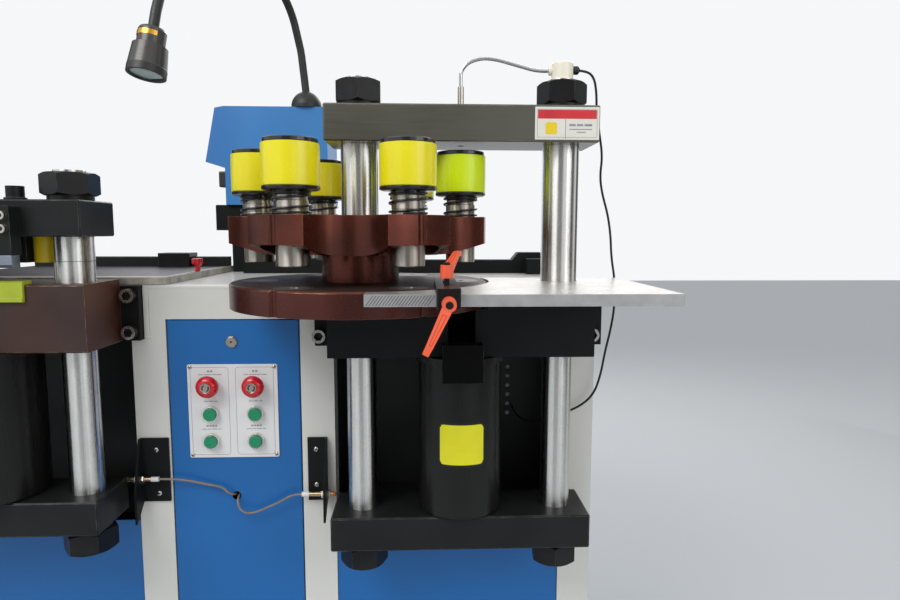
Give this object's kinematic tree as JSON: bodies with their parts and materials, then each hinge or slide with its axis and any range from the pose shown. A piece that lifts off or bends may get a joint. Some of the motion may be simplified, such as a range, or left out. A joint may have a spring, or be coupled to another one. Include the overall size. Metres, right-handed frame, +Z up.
{
  "type": "busbar punching and cutting machine",
  "caption": "Floor-standing hydraulic busbar machine with a punching turret, a shearing press, a control door and a gooseneck lamp on a steel cabinet.",
  "frame": {"origin": "on the floor under the middle of the cabinet", "axes": "+Z up, the working front faces -Y, +X runs to the operator's right, with the punching turret on the right"},
  "size_m": [1.3206, 1.0286, 1.594],
  "materials": {
    "cabinet_white": "semi-gloss paint",
    "panel_blue": "satin paint",
    "gloss_black": "gloss black",
    "brown_steel": "oiled brown-black steel",
    "bare_steel": "milled and oiled",
    "blued_steel": "blued",
    "chrome": "polished",
    "cast_bronze": "dark bronze sheen",
    "urethane_yellow": "cast urethane",
    "urethane_lime": "cast urethane",
    "lever_orange": "gloss",
    "button_red": "gloss",
    "button_green": "gloss",
    "plate_white": "satin",
    "lamp_grey": "satin dark grey paint",
    "cream_plastic": "gloss",
    "cable_grey": "matt",
    "cable_black": "matt",
    "tank_grey": "satin paint"
  },
  "bodies": {
    "base": {"cabinet_frame": "cabinet_white", "cabinet_top": "cabinet_white", "blue_panels": "panel_blue", "bay_liners": "gloss_black", "floor_feet": "cabinet_white", "punch_bed": "gloss_black", "press_cylinders": "gloss_black", "power_unit": "tank_grey", "work_table": "bare_steel", "slug_chute": "gloss_black", "bed_screws": "blued_steel", "shear_bed": "brown_steel", "lower_blade": "urethane_lime", "feed_table": "bare_steel", "feed_fence": "gloss_black", "end_sensors": "gloss_black", "sensor_cable_left": "cable_grey", "sensor_cable_right": "cable_grey", "rear_gauge": "gloss_black", "rear_column": "gloss_black", "rear_housing": "panel_blue", "lamp_arm": "gloss_black", "lamp_head": "lamp_grey", "pointer_cable": "cable_black"},
    "punch_yoke": {"top_beam": "gloss_black", "yoke_base": "gloss_black", "tie_rods": "chrome", "yoke_nuts": "blued_steel", "pointer_light": "cream_plastic"},
    "shear_yoke": {"shear_beam": "gloss_black", "shear_base": "gloss_black", "shear_rods": "chrome", "shear_nuts": "blued_steel", "blade_holder": "gloss_black", "upper_blade": "blued_steel"},
    "turret": {"punch_wheel": "cast_bronze", "die_wheel": "cast_bronze", "dies": "bare_steel", "punch_springs": "blued_steel"},
    "punch_one": {"punch_1": "urethane_lime"},
    "punch_two": {"punch_2": "urethane_yellow"},
    "punch_three": {"punch_3": "urethane_yellow"},
    "punch_four": {"punch_4": "urethane_yellow"},
    "punch_five": {"punch_5": "urethane_yellow"},
    "punch_six": {"punch_6": "urethane_yellow"},
    "door": {"door": "panel_blue", "control_plate": "plate_white", "button_bezels": "chrome"},
    "door_key": {"door_lock": "chrome"},
    "stop_left": {"stop_head_left": "button_red"},
    "stop_right": {"stop_head_right": "button_red"},
    "start_one": {"start_cap_1": "button_green"},
    "start_two": {"start_cap_2": "button_green"},
    "start_three": {"start_cap_3": "button_green"},
    "start_four": {"start_cap_4": "button_green"},
    "guide": {"guide_bar": "blued_steel"},
    "guide_lever": {"top_lever": "lever_orange"},
    "block_lever": {"front_lever": "lever_orange"},
    "stop_block": {"fence_stop": "blued_steel"},
    "clamp_knob": {"fence_knob": "button_red"}
  },
  "joints": [
    {"name": "punch_stroke", "type": "slide", "parent": "base", "child": "punch_yoke", "axis": [0, 0, -1], "range_m": [0, 0.036], "deforming": ["pointer_cable"]},
    {"name": "shear_stroke", "type": "slide", "parent": "base", "child": "shear_yoke", "axis": [0, 0, -1], "range_m": [0, 0.03]},
    {"name": "turret_spin", "type": "hinge", "parent": "base", "child": "turret", "pos_m": [0.227, -0.38, 0.95], "axis": [0, 0, 1], "continuous": true},
    {"name": "punch_one_slide", "type": "slide", "parent": "turret", "child": "punch_one", "axis": [0, 0, -1], "range_m": [0, 0.0264], "stiffness_N_per_m": 4000, "springref_m": -0.02, "deforming": ["punch_springs"]},
    {"name": "punch_two_slide", "type": "slide", "parent": "turret", "child": "punch_two", "axis": [0, 0, -1], "range_m": [0, 0.0264], "stiffness_N_per_m": 4000, "springref_m": -0.02, "deforming": ["punch_springs"]},
    {"name": "punch_three_slide", "type": "slide", "parent": "turret", "child": "punch_three", "axis": [0, 0, -1], "range_m": [0, 0.0264], "stiffness_N_per_m": 4000, "springref_m": -0.02, "deforming": ["punch_springs"]},
    {"name": "punch_four_slide", "type": "slide", "parent": "turret", "child": "punch_four", "axis": [0, 0, -1], "range_m": [0, 0.0264], "stiffness_N_per_m": 4000, "springref_m": -0.02, "deforming": ["punch_springs"]},
    {"name": "punch_five_slide", "type": "slide", "parent": "turret", "child": "punch_five", "axis": [0, 0, -1], "range_m": [0, 0.0264], "stiffness_N_per_m": 4000, "springref_m": -0.02, "deforming": ["punch_springs"]},
    {"name": "punch_six_slide", "type": "slide", "parent": "turret", "child": "punch_six", "axis": [0, 0, -1], "range_m": [0, 0.0264], "stiffness_N_per_m": 4000, "springref_m": -0.02, "deforming": ["punch_springs"]},
    {"name": "door_hinge", "type": "hinge", "parent": "base", "child": "door", "pos_m": [-0.122, -0.296, 0.48], "axis": [0, 0, -1], "range_deg": [0, 90], "deforming": ["sensor_cable_left", "sensor_cable_right"]},
    {"name": "door_lock_turn", "type": "hinge", "parent": "door", "child": "door_key", "pos_m": [-0.013, -0.3, 0.834], "axis": [0, 1, 0], "range_deg": [0, 90]},
    {"name": "stop_left_press", "type": "slide", "parent": "door", "child": "stop_left", "axis": [0, 1, 0], "range_m": [0, 0.004], "stiffness_N_per_m": 800, "springref_m": -0.006},
    {"name": "stop_right_press", "type": "slide", "parent": "door", "child": "stop_right", "axis": [0, 1, 0], "range_m": [0, 0.004], "stiffness_N_per_m": 800, "springref_m": -0.006},
    {"name": "start_one_press", "type": "slide", "parent": "door", "child": "start_one", "axis": [0, 1, 0], "range_m": [0, 0.003], "stiffness_N_per_m": 400, "springref_m": -0.006},
    {"name": "start_two_press", "type": "slide", "parent": "door", "child": "start_two", "axis": [0, 1, 0], "range_m": [0, 0.003], "stiffness_N_per_m": 400, "springref_m": -0.006},
    {"name": "start_three_press", "type": "slide", "parent": "door", "child": "start_three", "axis": [0, 1, 0], "range_m": [0, 0.003], "stiffness_N_per_m": 400, "springref_m": -0.006},
    {"name": "start_four_press", "type": "slide", "parent": "door", "child": "start_four", "axis": [0, 1, 0], "range_m": [0, 0.003], "stiffness_N_per_m": 400, "springref_m": -0.006},
    {"name": "guide_slide", "type": "slide", "parent": "base", "child": "guide", "axis": [0, -1, 0], "range_m": [0, 0.06]},
    {"name": "guide_lever_turn", "type": "hinge", "parent": "base", "child": "guide_lever", "pos_m": [0.363, -0.573, 0.97], "axis": [0, 0, -1], "range_deg": [0, 120]},
    {"name": "block_lever_turn", "type": "hinge", "parent": "guide", "child": "block_lever", "pos_m": [0.363, -0.65, 0.941], "axis": [0, 1, 0], "range_deg": [-45, 90]},
    {"name": "stop_slide", "type": "slide", "parent": "base", "child": "stop_block", "axis": [1, 0, 0], "range_m": [-0.08, 0.08]},
    {"name": "knob_turn", "type": "hinge", "parent": "base", "child": "clamp_knob", "pos_m": [-0.127, -0.13, 0.96], "axis": [0, 0, 1], "range_deg": [-180, 180]}
  ],
  "couplings": [
    {"joint": "punch_one_slide", "follows": "punch_stroke", "ratio": 0.73}
  ]
}
